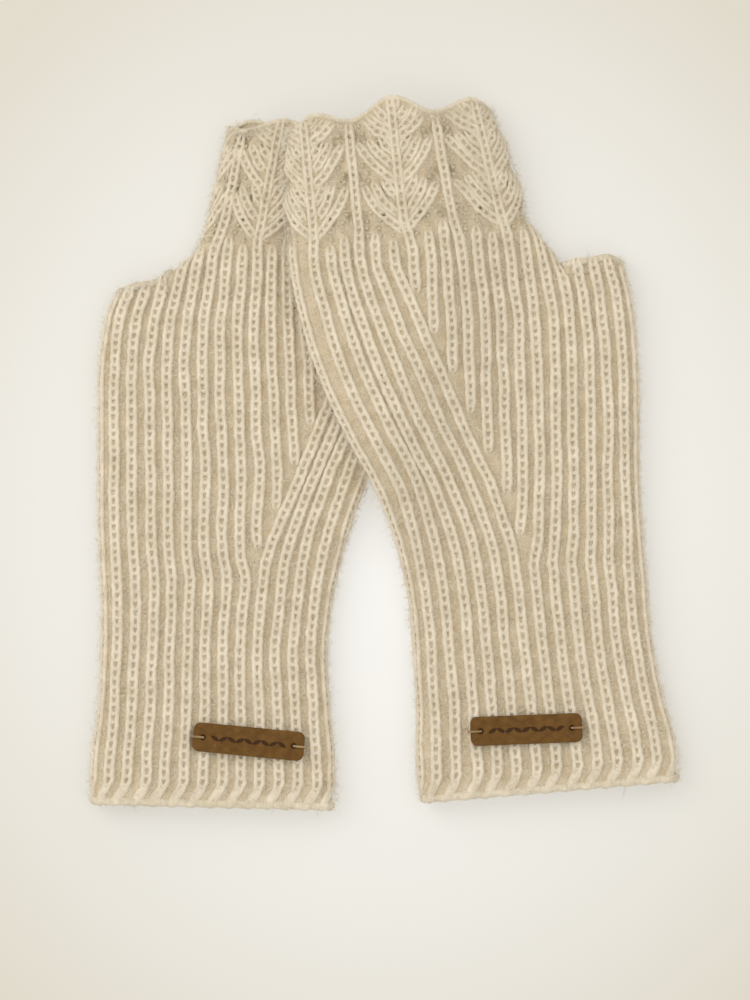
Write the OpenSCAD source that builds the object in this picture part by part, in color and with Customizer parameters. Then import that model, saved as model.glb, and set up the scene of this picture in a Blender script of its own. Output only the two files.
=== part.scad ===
// A pair of fingerless gloves, knitted as flattened tubes and laid flat, the right glove over the left.
// +X runs to the right glove, +Y to the fingertips and +Z up from the surface that they lie on.
// Each glove is made in its own frame: origin in the middle of the wrist, thumb on the +X side.

/* [Glove] */
// Length of a glove from the wrist to the valleys between the scallops
glove_length = 196.5; // [190:0.5:204]
// Width over palm and thumb at the thumb opening
palm_width = 96; // [92:0.5:100]
// Height of a glove as it lies flat
lying_height = 10; // [9.2:0.2:12]
// Thickness of the ribbed fabric
rib_wall = 2.2; // [1.6:0.1:2.4]
// Thickness of the bulkier wrist and thumb edges
edge_wall = 2.7; // [2.2:0.1:2.8]
// Height of the cast-on edge at the wrist
wrist_edge_height = 4; // [3:0.5:8]
// Height of the bound-off edge round the thumb
thumb_edge_height = 5; // [4:0.5:6]

/* [Lace cuff] */
// How far the right glove's scallops stand above the valleys between them
right_scallop_height = 4.6; // [2:0.2:6]
// How far the left glove's scallops stand above the valleys between them
left_scallop_height = 3; // [2:0.2:6]
// Scallops across one face of the cuff
scallops_across = 2.5; // [1.5:0.5:3.5]
// Where the first peak of the right glove's front lies, as a share of the cuff's width
right_first_peak = 0.11; // [0:0.01:0.4]
// Where the first peak of the left glove's front lies, as a share of the cuff's width
left_first_peak = 0.32; // [0:0.01:0.4]
// Where the first peak of the left glove's back lies, as a share of the cuff's width
left_back_first_peak = 0.08; // [0:0.01:0.4]

/* [Label] */
// Length of the leather label
label_length = 32; // [28:0.5:36]
// Width of the leather label
label_width = 8.3; // [7:0.1:10]
// Thickness of the leather
label_thickness = 1.5; // [1.2:0.1:2]
// Radius of the label's corners
label_corner = 2; // [1:0.1:3]
// Room between the label and the knit
label_gap = 0.6; // [0.5:0.1:1]
// Distance between the label's two holes
hole_spacing = 26; // [22:0.5:27]
// Radius of each hole
hole_radius = 0.75; // [0.6:0.05:0.9]
// Radius of the thread that holds the label
thread_radius = 0.3; // [0.2:0.05:0.4]
// Leaves pressed into the label as an ornament
leaf_count = 9; // [5:2:11]

/* [How the pair lies] */
// Turn of the right glove
right_turn = 4.8; // [4:0.1:6]
// Turn of the left glove
left_turn = -1.4; // [-2:0.1:0]
// Room between the two gloves where they overlap
layer_gap = 0.5; // [0.3:0.1:1]

/* [Hidden] */

LEFT = 0;
RIGHT = 1;

// Where the middle of each wrist lies, left and then right.
wrist_at = [[-49.7, -101.3], [47.2, -97]];
turn_of = [left_turn, right_turn];
scallop_height = [left_scallop_height, right_scallop_height];
// The first peak of each glove's upper face and of its lower one.
first_peak = [[left_first_peak, left_back_first_peak], [right_first_peak, right_first_peak]];
UPPER = 0;
LOWER = 1;

// Each station is a height up the glove, then the little-finger fold and the thumb fold at that height, for a
// glove of the nominal size. The hand's stations run to the thumb's edge, the fingers' from the fork to the top.
nominal_length = 196.5;
nominal_palm = 96;
hand_stations = [
    [[0, -35.8, 35], [14, -35.2, 35], [27, -33.7, 33.3], [43, -32.3, 32.9], [56, -33, 33], [70, -35.4, 34],
     [91, -41.6, 35], [110, -50, 35.4], [126, -56, 35.6], [143, -60.5, 33], [150, -61.5, 29]],
    [[0, -37.6, 38.2], [13, -37.2, 37.2], [27, -36, 34.7], [44, -35.5, 33.1], [60, -35.8, 33.2], [75, -38.2, 33.4],
     [90, -42.9, 33.8], [110, -51.8, 35.4], [128, -57.8, 36.1], [143, -60.8, 35.3], [150, -61.6, 33.6]]
];
finger_stations = [
    [[147, -61, 14.4], [153, -61.7, 13.6], [157, -62, 10.6], [161, -62, 7.4], [168, -62, 5.5], [180, -61, 3.2],
     [197, -59.5, -0.4]],
    [[147, -61.2, 16.4], [152, -61.8, 14.6], [158, -62, 11.9], [163.5, -62, 7.9], [167, -61.9, 6.9],
     [171, -61.8, 7.4], [180, -61, 5], [188, -60.3, 3], [197, -59.5, -0.4]]
];
thumb_fork = 147;
// How much higher than its nominal height the thumb's edge lies, how much it rises from the fork to its outer corner,
// half of it on each side of the middle, how far its outer corner is rounded down, and how far it runs up at the fork.
thumb_edge_shift = [-1.3, 0];
thumb_edge_tilt = [-1.8, 0.8];
thumb_corner_drop = [0.9, 2.2];
thumb_corner_start = 0.7;
thumb_fork_rise = [1.5, 0];
thumb_fork_width = 0.25;
// How much longer than its nominal length the cuff lies in its middle, how much longer it is at the thumb's side than
// at the little finger's, and how far it bulges up between the two.
cuff_shift = [-1.9, 1.1];
cuff_slope = 2;
cuff_bulge = [5, 17.8];
// Room between the thumb's edge and the finger cuff at the fork.
fork_gap = 0.3;

// A label's middle and turn in its glove's own frame.
label_at = [[-10.3, 18.9], [-5.1, 18.3]];
label_turn = [4.1, -2.6];
leaf_depth = 0.3;
leaf_length = 2.9;
leaf_width = 1.1;
leaf_tilt = 28;
// A tie's bend at its two corners, how far it lands beyond the label's end, how deep it goes into the knit and its
// room above the label.
tie_bend = 0.6;
tie_reach = 0.7;
tie_depth = 1.2;
tie_clearance = 0.15;

// How the right glove comes down from the left one: where it starts inside the left glove's fold, and how far it
// takes; and the stretch along Y over which it rises from the table.
descent_start = -6;
descent_reach = 36;
rise_start = -58;
rise_end = -13;

fold_steps = 8;
face_steps = 20;
row_pitch = 6.5;
ivory = [0.89, 0.83, 0.72];
cream = [0.93, 0.88, 0.79];
brown = [0.42, 0.29, 0.16];
thread_brown = [0.75, 0.64, 0.47];

size_x = palm_width / nominal_palm;
size_y = glove_length / nominal_length;
hand_start = wrist_edge_height;
hand_end = thumb_fork * size_y;
label_base = lying_height + label_gap;

// ---- curves ----

function mix(a, b, t) = a + (b - a) * t;
function ease(t) = let (c = min(max(t, 0), 1)) c * c * (3 - 2 * c);

// The value in column k of a list of stations at height y, on a smooth curve through them.
function span_of(stations, y) = max([for (i = [0 : len(stations) - 2]) (i == 0 || stations[i][0] <= y) ? i : 0]);
function slope_at(stations, k, i) =
    let (a = stations[max(i - 1, 0)], b = stations[min(i + 1, len(stations) - 1)])
    (b[k] - a[k]) / (b[0] - a[0]);
function curve(stations, k, y) =
    let (
        i = span_of(stations, y),
        a = stations[i],
        b = stations[i + 1],
        step = b[0] - a[0],
        t = min(max((y - a[0]) / step, 0), 1),
        rise_a = slope_at(stations, k, i) * step,
        rise_b = slope_at(stations, k, i + 1) * step
    )
    mix(a[k], b[k], t * t * (3 - 2 * t)) + rise_a * t * (1 - t) * (1 - t) - rise_b * t * t * (1 - t);

// The little-finger fold (k = 1) and the thumb fold (k = 2) of a glove at height y.
function hand_fold(side, k, y) = size_x * curve(hand_stations[side], k, y / size_y);
function finger_fold(side, k, y) = size_x * curve(finger_stations[side], k, y / size_y);

// ---- how the gloves lie ----

// A point of a glove's own frame in the pair's frame, and the left glove's inner fold at a height in that frame.
function lying_x(side, x, y) =
    wrist_at[side][0] + (side == LEFT ? -x : x) * cos(turn_of[side]) - y * sin(turn_of[side]);
function lying_y(side, x, y) =
    wrist_at[side][1] + (side == LEFT ? -x : x) * sin(turn_of[side]) + y * cos(turn_of[side]);
function inner_fold(world_y) =
    let (y = min(max(world_y - wrist_at[LEFT][1], 0), glove_length + right_scallop_height))
    lying_x(LEFT, y < hand_end ? hand_fold(LEFT, 1, y) : finger_fold(LEFT, 1, y), y);

// How high a glove is carried at a point: the right one rides over the left one and comes down beside it.
function lift(side, x, y) =
    side == LEFT ? 0 :
    let (
        across = lying_x(side, x, y) - inner_fold(lying_y(side, x, y)) - descent_start,
        along = lying_y(side, x, y) - rise_start
    )
    (lying_height + layer_gap) * (1 - ease(across / descent_reach)) * ease(along / (rise_end - rise_start));

// Puts what is drawn in a glove's own frame where that glove lies.
module lay(side) {
    translate([wrist_at[side][0], wrist_at[side][1], 0])
        rotate(turn_of[side])
            mirror([side == LEFT ? 1 : 0, 0, 0])
                children();
}

// ---- knitted tubes ----

// One turn round a flattened tube, as [x, z]: round at both folds and flat between them.
function flat_ring(low_x, high_x, radius) = concat(
    [for (i = [0 : fold_steps - 1])
        let (a = 270 - 180 * i / fold_steps) [low_x + radius + radius * cos(a), radius * sin(a)]],
    [for (i = [0 : face_steps - 1]) [mix(low_x + radius, high_x - radius, i / face_steps), radius]],
    [for (i = [0 : fold_steps - 1])
        let (a = 90 - 180 * i / fold_steps) [high_x - radius + radius * cos(a), radius * sin(a)]],
    [for (i = [0 : face_steps - 1]) [mix(high_x - radius, low_x + radius, i / face_steps), -radius]]
);
ring_size = 2 * (fold_steps + face_steps);

// The rings of one skin of a tube. folds(y) gives its two folds at height y, and top(u, face) the height of its end at
// a share u of the width on the face UPPER or LOWER, so a scalloped end is a top that waves. inset moves the skin into
// the wall.
function skin(side, start, top, folds, inset) =
    let (rows = ceil((top(0.5, UPPER) - start) / row_pitch))
    [for (row = [0 : rows])
        let (
            level = mix(start, top(0.5, UPPER), row / rows),
            middle = folds(level),
            ring = flat_ring(middle[0] + inset, middle[1] - inset, lying_height / 2 - inset)
        )
        for (p = ring)
            let (
                u = (p[0] - middle[0]) / (middle[1] - middle[0]),
                y = mix(start, top(u, p[1] < 0 ? LOWER : UPPER), row / rows),
                shift = folds(y) - middle,
                x = p[0] + mix(shift[0], shift[1], u)
            )
            [x, y, lying_height / 2 + p[1] + lift(side, x, y)]];

// The two triangles between points a, b and c, d, turned over when flip is true.
function quad(a, b, c, d, flip) = flip ? [[a, c, b], [a, d, c]] : [[a, b, c], [a, c, d]];

// A tube with a wall: an outer skin, an inner skin and a flat rim at each end.
module tube(side, start, top, folds, wall) {
    outer = skin(side, start, top, folds, 0);
    inner = skin(side, start, top, folds, wall);
    rows = len(outer) / ring_size - 1;
    turn = [for (i = [0 : ring_size - 1]) [i, (i + 1) % ring_size]];
    faces = [
        for (row = [0 : rows - 1], i = turn, skin_start = [0, len(outer)])
            let (a = skin_start + row * ring_size)
            each quad(a + i[0], a + i[1], a + i[1] + ring_size, a + i[0] + ring_size, skin_start == 0),
        for (row = [0, rows], i = turn)
            let (a = row * ring_size, b = a + len(outer))
            each quad(a + i[0], a + i[1], b + i[1], b + i[0], row != 0)
    ];
    lay(side)
        polyhedron(concat(outer, inner), faces, convexity = 6);
}

module hand(side)
    color(ivory)
        tube(side, hand_start, function (u, face) hand_end,
            function (y) [hand_fold(side, 1, y), hand_fold(side, 2, y)], rib_wall);

module wrist_edge(side)
    color(cream)
        tube(side, 0, function (u, face) hand_start,
            function (y) [hand_fold(side, 1, y), hand_fold(side, 2, y)], edge_wall);

module thumb_edge(side)
    color(cream)
        tube(side, hand_end,
            function (u, face) hand_end + thumb_edge_height + thumb_edge_shift[side]
                + mix(-1, 1, u) * thumb_edge_tilt[side]
                + thumb_fork_rise[side] * pow(max(1 - u / thumb_fork_width, 0), 2)
                - thumb_corner_drop[side] * pow(max(u - thumb_corner_start, 0) / (1 - thumb_corner_start), 2),
            function (y) [finger_fold(side, 2, y) + fork_gap, hand_fold(side, 2, y)], edge_wall);

module finger_cuff(side)
    color(ivory)
        tube(side, hand_end,
            function (u, face) glove_length + cuff_shift[side] + cuff_slope * (u - 0.5)
                - cuff_bulge[side] * pow(u - 0.5, 2)
                + scallop_height[side] * pow(cos(180 * (u - first_peak[side][face]) * scallops_across), 2),
            function (y) [finger_fold(side, 1, y), finger_fold(side, 2, y)], rib_wall);

// ---- leather labels and their thread ties ----

// Puts what is drawn in a label's own frame, with its middle on the label's underside, where the label lies.
module at_label(side) {
    lay(side)
        translate([label_at[side][0] * size_x, label_at[side][1], label_base])
            rotate(label_turn[side])
                children();
}

module plate() {
    inner_length = label_length - 2 * label_corner;
    inner_width = label_width - 2 * label_corner;
    translate([-label_length / 2, -inner_width / 2, 0])
        cube([label_length, inner_width, label_thickness]);
    translate([-inner_length / 2, -label_width / 2, 0])
        cube([inner_length, label_width, label_thickness]);
    for (x = [-1, 1] * inner_length / 2, y = [-1, 1] * inner_width / 2)
        translate([x, y, 0])
            cylinder(r = label_corner, h = label_thickness, $fn = 48);
}

// A pointed leaf: what two equal discs share.
module leaf() {
    disc = (pow(leaf_length, 2) + pow(leaf_width, 2)) / (4 * leaf_width);
    intersection_for (side = [-1, 1])
        translate([0, side * (disc - leaf_width / 2), 0])
            cylinder(r = disc, h = 2 * leaf_depth, $fn = 96);
}

module label(side) {
    pitch = (hole_spacing - leaf_length - 2 * hole_radius) / leaf_count;
    color(brown)
        at_label(side)
            difference() {
                plate();
                for (x = [-1, 1] * hole_spacing / 2)
                    translate([x, 0, -1])
                        cylinder(r = hole_radius, h = label_thickness + 2, $fn = 32);
                for (i = [0 : leaf_count - 1])
                    translate([(i - (leaf_count - 1) / 2) * pitch, 0, label_thickness - leaf_depth])
                        rotate(i % 2 == 0 ? leaf_tilt : -leaf_tilt)
                            leaf();
            }
}

// A staple of thread: up through the hole, along the label's top and down into the knit beyond its end.
// reach is +1 for the end on the thumb's side and -1 for the other.
module tie(side, reach) {
    hole_x = hole_spacing / 2;
    end_x = label_length / 2 + tie_reach;
    bridge_z = label_thickness + tie_clearance + thread_radius;
    leg_foot = -label_gap - tie_depth;
    color(thread_brown)
        at_label(side)
            mirror([reach < 0 ? 1 : 0, 0, 0]) {
                for (x = [hole_x, end_x])
                    translate([x, 0, leg_foot])
                        cylinder(r = thread_radius, h = bridge_z - tie_bend - leg_foot, $fn = 24);
                translate([hole_x + tie_bend, 0, bridge_z])
                    rotate([0, 90, 0])
                        cylinder(r = thread_radius, h = end_x - hole_x - 2 * tie_bend, $fn = 24);
                for (corner = [[hole_x + tie_bend, 90], [end_x - tie_bend, 0]])
                    translate([corner[0], 0, bridge_z - tie_bend])
                        rotate([90, 0, 0])
                            rotate(corner[1])
                                rotate_extrude(angle = 90, $fn = 32)
                                    translate([tie_bend, 0])
                                        circle(r = thread_radius, $fn = 24);
            }
}

hand(LEFT);  // left_hand
finger_cuff(LEFT);  // left_finger_cuff
thumb_edge(LEFT);  // left_thumb_edge
wrist_edge(LEFT);  // left_wrist_edge
label(LEFT);  // left_label
tie(LEFT, 1);  // left_label_outer_tie
tie(LEFT, -1);  // left_label_inner_tie
hand(RIGHT);  // right_hand
finger_cuff(RIGHT);  // right_finger_cuff
thumb_edge(RIGHT);  // right_thumb_edge
wrist_edge(RIGHT);  // right_wrist_edge
label(RIGHT);  // right_label
tie(RIGHT, 1);  // right_label_outer_tie
tie(RIGHT, -1);  // right_label_inner_tie
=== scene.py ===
"""Looks of a pair of ribbed, fingerless gloves that lie flat, the right one over the left one.

Each wale of the rib and each stroke of the lace is a chain of stitches: two rails of yarn and the loops that
join them. Chains are laid out in the glove's unrolled face, in millimetres, and then wrapped round the CAD
model's flattened tube. Of the unrolled face, u runs from the little-finger fold to the thumb fold, y from the
wrist to the fingers, and h out of the fabric.
"""
import itertools
import math

import bpy
import numpy as np
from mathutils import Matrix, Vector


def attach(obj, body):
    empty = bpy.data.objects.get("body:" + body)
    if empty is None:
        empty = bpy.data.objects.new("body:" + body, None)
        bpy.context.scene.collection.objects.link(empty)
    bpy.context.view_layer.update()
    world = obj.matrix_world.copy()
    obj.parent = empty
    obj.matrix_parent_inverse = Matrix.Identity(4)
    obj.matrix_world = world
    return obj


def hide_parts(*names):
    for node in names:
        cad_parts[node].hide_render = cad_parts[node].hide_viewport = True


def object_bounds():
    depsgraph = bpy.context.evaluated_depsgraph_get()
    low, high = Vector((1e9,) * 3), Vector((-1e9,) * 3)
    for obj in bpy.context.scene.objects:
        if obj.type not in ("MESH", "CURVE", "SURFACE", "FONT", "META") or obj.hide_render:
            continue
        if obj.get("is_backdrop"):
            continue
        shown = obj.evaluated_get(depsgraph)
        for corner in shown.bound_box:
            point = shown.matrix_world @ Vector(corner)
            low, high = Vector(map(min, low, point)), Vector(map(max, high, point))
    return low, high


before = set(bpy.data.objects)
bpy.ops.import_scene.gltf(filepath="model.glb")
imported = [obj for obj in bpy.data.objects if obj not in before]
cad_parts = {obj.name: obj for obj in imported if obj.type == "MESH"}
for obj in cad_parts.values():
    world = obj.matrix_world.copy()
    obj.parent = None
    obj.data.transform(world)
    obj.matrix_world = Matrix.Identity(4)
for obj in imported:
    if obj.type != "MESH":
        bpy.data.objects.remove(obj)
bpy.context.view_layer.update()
scene = bpy.context.scene

MM = 0.001
FRONT, BACK = 1, -1

# A glove's height, its folds' radius, the way round half a fold and the fabric's thickness.
LYING = 10.0
RADIUS = LYING / 2
ARC = math.pi * RADIUS / 2
WALL = 2.2

# Heights along a glove: where thumb and fingers part, and the middle height of the finger opening.
FORK = 147.0
GLOVE_LENGTH = 196.5

# The finger opening's edge: its scallops, where their first peaks are, and how the edge lies.
SCALLOP = {"left": 3.0, "right": 4.6}
SCALLOPS_ACROSS = 2.5
FIRST_PEAK = {("left", FRONT): 0.32, ("left", BACK): 0.08, ("right", FRONT): 0.11, ("right", BACK): 0.11}
CUFF_SHIFT = {"left": -1.9, "right": 1.1}
CUFF_SLOPE = 2.0
CUFF_BULGE = {"left": 5.0, "right": 17.8}

# The thumb opening's edge, which rises towards the fork and drops at its outer corner.
THUMB_TOP = {"left": FORK + 3.7, "right": FORK + 5}
THUMB_FORK_RISE = {"left": 1.5, "right": 0.0}
THUMB_FORK_WIDTH = 0.25
THUMB_CORNER_DROP = {"left": 0.9, "right": 2.2}
THUMB_CORNER_START = 0.7

# The web that fills the fork, and where it fades.
FORK_WEB = {"left": 5.0, "right": 1.0}
WEB_FROM = FORK + 2
WEB_FADES_OVER = 9.0

# Where fingers and thumb take over from the hand's tube.
PARTING_FROM = FORK - 2
PARTING_OVER = 6.0

# How the right glove rides over the left one and comes down beside it.
LAYER_GAP = 0.5
COMES_DOWN_INSIDE = 6.0
COMES_DOWN_OVER = 36.0
RISES_BELOW_MIDDLE = 58.0
RISES_OVER = 45.0

# Where the CAD nodes are cut to find the folds of each part.
FOLD_LEVELS = {
    "hand": ("hand", np.linspace(5, FORK - 0.5, 90)),
    "fingers": ("finger_cuff", np.linspace(FORK + 0.5, GLOVE_LENGTH - 1, 50)),
    "thumb": ("thumb_edge", np.linspace(FORK + 0.3, FORK + 2.4, 4)),
}

# How the wales part, and the wales that the thumb side gains.
WALES_PART_AT = 60
WALES_PART_OVER = 20
NEW_WALES_FROM = 66
NEW_WALE_EVERY = 12.2
NEW_WALES = 6.8
NEW_WALE_START = 0.55
SPREAD = 2.7
SPREAD_AT = 10.5
SPREAD_REACH = 9.5
SPREAD_OVER = 40
KNEE = FORK - 1
KNEE_RUN = 4
STRAIGHTENS_OVER = 14


def ease(t):
    t = np.clip(t, 0, 1)
    return t * t * (3 - 2 * t)


def mix(a, b, t):
    return a + (b - a) * t


def turned(x, y, angle):
    return x * math.cos(angle) - y * math.sin(angle), x * math.sin(angle) + y * math.cos(angle)


# ---- the gloves as the CAD model has them ----


class Glove:
    """Where one glove lies, how wide it is at each height, and how its wales run.

    Some wales follow the little-finger fold and the others the thumb fold. Between them is a line, given by
    how far round the face it is and by its swells, each a height, a reach and an amount.
    """

    def __init__(self, name, mirror, wrist, turn, thumb_tilt, little_wales, thumb_wales, line, swells):
        self.name = name
        self.mirror = mirror
        self.wrist = wrist
        self.turn = math.radians(turn)
        self.thumb_tilt = thumb_tilt
        self.little_wales = little_wales
        self.thumb_wales = thumb_wales
        self.line = line
        self.swells = swells
        self.folds = {part: self.slices(node, levels) for part, (node, levels) in FOLD_LEVELS.items()}

    def slices(self, node, levels):
        """The two folds of a CAD node at each level, as rows of [level, little-finger side, thumb side]."""
        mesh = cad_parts[f"{self.name}_{node}"].data
        corners = np.empty(len(mesh.vertices) * 3)
        mesh.vertices.foreach_get("co", corners)
        edges = np.empty(len(mesh.edges) * 2, dtype=np.int64)
        mesh.edges.foreach_get("vertices", edges)
        x, y = self.local(*(corners.reshape(-1, 3)[:, :2] / MM).T)
        start, end = edges.reshape(-1, 2).T
        rows = []
        for level in levels:
            across = (y[start] - level) * (y[end] - level) < 0
            a, b = start[across], end[across]
            at = mix(x[a], x[b], (level - y[a]) / (y[b] - y[a]))
            rows.append((level, at.min(), at.max()))
        return np.array(rows)

    def local(self, world_x, world_y):
        x, y = turned(world_x - self.wrist[0], world_y - self.wrist[1], -self.turn)
        return self.mirror * x, y

    def world(self, x, y):
        x, y = turned(self.mirror * x, y, self.turn)
        return self.wrist[0] + x, self.wrist[1] + y

    def fold(self, side, y, part):
        """The little-finger fold (side 1) or the thumb fold (side 2) of a part at heights y."""
        rows = self.folds[part]
        if part == "hand" and side == 1:
            rows = np.concatenate([rows, self.folds["fingers"]])
        place = np.interp(y, rows[:, 0], rows[:, side])
        if part == "fingers" and side == 2:
            place = place + FORK_WEB[self.name] * (1 - ease((y - WEB_FROM) / WEB_FADES_OVER))
        return place

    def around(self, y, part="hand"):
        """The way round one face of the tube, from the middle of one fold to the middle of the other."""
        return self.fold(2, y, part) - self.fold(1, y, part) - 2 * RADIUS + 2 * ARC

    def unrolled(self, q, y, part="hand"):
        """The u of a point that is q along the way round the face."""
        return q + self.fold(1, y, part) + RADIUS - ARC

    def wrap(self, u, y, h, face, part):
        """The place across the tube and the height over the table of a point of the unrolled face."""
        low, high = self.fold(1, y, part), self.fold(2, y, part)
        q = u - low - RADIUS + ARC
        width = self.around(y, part)
        near, far = q < ARC, q > width - ARC
        angle = np.where(near, q, np.where(far, width - q, ARC)) / RADIUS
        reach = (RADIUS + h) * np.cos(angle)
        x = np.where(near, low + RADIUS - reach, np.where(far, high - RADIUS + reach, u))
        return x, RADIUS + face * (RADIUS + h) * np.sin(angle)

    def place(self, points, face, part="hand"):
        """World places, in metres, of points (u, y, height over the skin) on one face of the tube."""
        u, y, h = np.moveaxis(points, -1, 0)
        x, z = self.wrap(u, y, h, face, "hand")
        if part != "hand":
            part_x, part_z = self.wrap(u, y, h, face, part)
            share = ease((y - PARTING_FROM) / PARTING_OVER)
            x, z = mix(x, part_x, share), mix(z, part_z, share)
        world_x, world_y = self.world(x, y)
        return np.stack([world_x, world_y, z + self.lift(world_x, world_y)], axis=-1) * MM

    def lift(self, world_x, world_y):
        """The right glove rides over the left one and comes down beside it."""
        if self.name == "left":
            return 0
        left = GLOVES["left"]
        y = np.clip(world_y - left.wrist[1], 0, GLOVE_LENGTH + SCALLOP["right"])
        inner = left.world(left.fold(1, y, "hand"), y)[0]
        across = (world_x - inner + COMES_DOWN_INSIDE) / COMES_DOWN_OVER
        along = (world_y + RISES_BELOW_MIDDLE) / RISES_OVER
        return (LYING + LAYER_GAP) * (1 - ease(across)) * ease(along)

    # ---- how the wales run ----

    def line_at(self, y):
        """How far round the face the two families of wales meet."""
        share = self.little_wales / (self.little_wales + self.thumb_wales)
        line = mix(self.around(y) * share, self.line, ease((y - WALES_PART_AT) / WALES_PART_OVER))
        for middle, reach, amount in self.swells:
            line = line + amount * np.exp(-((y - middle) / reach) ** 2)
        return line

    def thumb_wales_at(self, y):
        """How many wales the thumb side has, counting a share of the one that is starting."""
        return self.thumb_wales + np.clip((y - NEW_WALES_FROM) / NEW_WALE_EVERY, 0, NEW_WALES)

    def wale(self, family, number, y):
        """The unrolled place of a wale's middle at heights y."""
        if family == "little":
            q = (number + 0.5) * self.line_at(y) / self.little_wales
            spread = SPREAD * np.exp(-((q - SPREAD_AT) / SPREAD_REACH) ** 2)
            return self.unrolled(q + spread * ease((y - WALES_PART_AT) / SPREAD_OVER), y)
        low_y = np.minimum(y, KNEE)
        around = self.around(low_y)
        q = around - (number + 0.5) * (around - self.line_at(low_y)) / self.thumb_wales_at(low_y)
        u = self.unrolled(q, low_y)
        if np.ndim(y) and np.any(y > KNEE):
            at_knee = self.wale(family, number, np.array([KNEE]))
            below_knee = self.wale(family, number, np.array([KNEE - KNEE_RUN]))
            slope = (at_knee - below_knee)[0] / KNEE_RUN
            over = np.maximum(y - KNEE, 0)
            u = u + slope * STRAIGHTENS_OVER * (1 - np.exp(-over / STRAIGHTENS_OVER))
        return u

    def wales(self):
        """Every wale as (family, number, first height, part it ends on)."""
        found = [("little", i, 0.0, "fingers") for i in range(self.little_wales)]
        fork = self.fold(1, np.array([FORK + 1]), "thumb")[0]
        for i in range(self.thumb_wales + math.ceil(NEW_WALES)):
            new = i - self.thumb_wales
            start = 0.0 if new < 0 else NEW_WALES_FROM + (new + NEW_WALE_START) * NEW_WALE_EVERY
            if start < FORK + 1:
                over_fork = self.wale("thumb", i, np.array([FORK]))[0] > fork + 0.3
                found.append(("thumb", i, start, "thumb" if over_fork else "fingers"))
        return found

    def across(self, u, y, part):
        """How far across the tube a point lies, from 0 at the little-finger fold to 1 at the thumb fold."""
        low, high = self.fold(1, y, part), self.fold(2, y, part)
        return (self.wrap(u, y, 0.0, FRONT, part)[0] - low) / (high - low)

    def fingers_top(self, share, face):
        """The height of the finger opening's edge at a share of the way across a face."""
        peak = np.where(face == FRONT, FIRST_PEAK[self.name, FRONT], FIRST_PEAK[self.name, BACK])
        wave = np.cos(np.pi * (share - peak) * SCALLOPS_ACROSS) ** 2
        lie = CUFF_SHIFT[self.name] + CUFF_SLOPE * (share - 0.5) - CUFF_BULGE[self.name] * (share - 0.5) ** 2
        return GLOVE_LENGTH + lie + SCALLOP[self.name] * wave

    def thumb_top(self, share, face):
        """The height of the thumb opening's edge, which is the same on both faces."""
        rise = THUMB_FORK_RISE[self.name] * np.maximum(1 - share / THUMB_FORK_WIDTH, 0) ** 2
        past_start = np.maximum(share - THUMB_CORNER_START, 0) / (1 - THUMB_CORNER_START)
        drop = THUMB_CORNER_DROP[self.name] * past_start ** 2
        return THUMB_TOP[self.name] + mix(-1, 1, share) * self.thumb_tilt + rise - drop


GLOVES = {}
GLOVES["left"] = Glove("left", mirror=-1, wrist=(-49.7, -101.3), turn=-1.4, thumb_tilt=-1.8,
                       little_wales=5, thumb_wales=9, line=27.0, swells=[(94, 13, -2.2)])
GLOVES["right"] = Glove("right", mirror=1, wrist=(47.2, -97.0), turn=4.8, thumb_tilt=0.8,
                        little_wales=7, thumb_wales=7, line=37.8, swells=[(118, 26, 3.0), (156, 12, -2.4)])


# ---- meshes ----


class Strands:
    """Collects closed tubes of yarn and makes one mesh of them."""

    def __init__(self):
        self.blocks = []

    def add(self, points):
        """points is an array of tubes x rings x sides x 3, in metres."""
        if len(points):
            self.blocks.append(points)

    def mesh(self, name):
        """One mesh of all the tubes, with a cap on each end."""
        corners, quads, caps = [], [], []
        first = 0
        for block in self.blocks:
            tubes, rings, sides, _ = block.shape
            index = first + np.arange(tubes * rings * sides).reshape(tubes, rings, sides)
            beside = np.roll(index, -1, axis=2)
            between = np.stack([index[:, :-1], beside[:, :-1], beside[:, 1:], index[:, 1:]], -1)
            quads.append(between.reshape(-1, 4))
            caps.append(index[:, 0, ::-1].reshape(-1, sides))
            caps.append(index[:, -1].reshape(-1, sides))
            corners.append(block.reshape(-1, 3))
            first += index.size
        return make_mesh(name, np.concatenate(corners), [np.concatenate(quads), *caps])


def make_mesh(name, corners, face_groups):
    """A smooth mesh. Each group of faces has one number of corners to a face."""
    mesh = bpy.data.meshes.new(name)
    mesh.vertices.add(len(corners))
    mesh.vertices.foreach_set("co", corners.astype(np.float32).ravel())
    totals = np.concatenate([np.full(len(group), group.shape[1]) for group in face_groups])
    loops = np.concatenate([group.ravel() for group in face_groups])
    mesh.loops.add(len(loops))
    mesh.loops.foreach_set("vertex_index", loops.astype(np.int32))
    mesh.polygons.add(len(totals))
    mesh.polygons.foreach_set("loop_start", np.concatenate([[0], np.cumsum(totals)[:-1]]).astype(np.int32))
    mesh.polygons.foreach_set("use_smooth", np.ones(len(totals), dtype=bool))
    mesh.update(calc_edges=True)
    mesh.validate()
    return mesh


def add_object(name, data):
    thing = bpy.data.objects.new(name, data)
    scene.collection.objects.link(thing)
    return thing


def make_piece(name, mesh, body, slot, material, *nodes):
    """A visible piece that rides a body, has a material slot and may stand for CAD nodes. The slot argument
    is not used.
    """
    piece = add_object(name, mesh)
    mesh.materials.append(material)
    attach(piece, body)
    if nodes:
        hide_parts(*nodes)
    return piece


def tube_along(path, side_way, up_way, radius, sides):
    """Rings of points round paths (tubes x rings x 3). The other arguments may be the same for all."""
    turn = np.arange(sides) * 2 * math.pi / sides
    out = np.cos(turn)[:, None] * side_way[..., None, :] + np.sin(turn)[:, None] * up_way[..., None, :]
    return path[..., None, :] + np.asarray(radius)[..., None, None] * out


# ---- stitches ----

UP = np.array([0.0, 0.0, 1.0])
ALONG = np.array([0.0, 1.0, 0.0])

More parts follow.
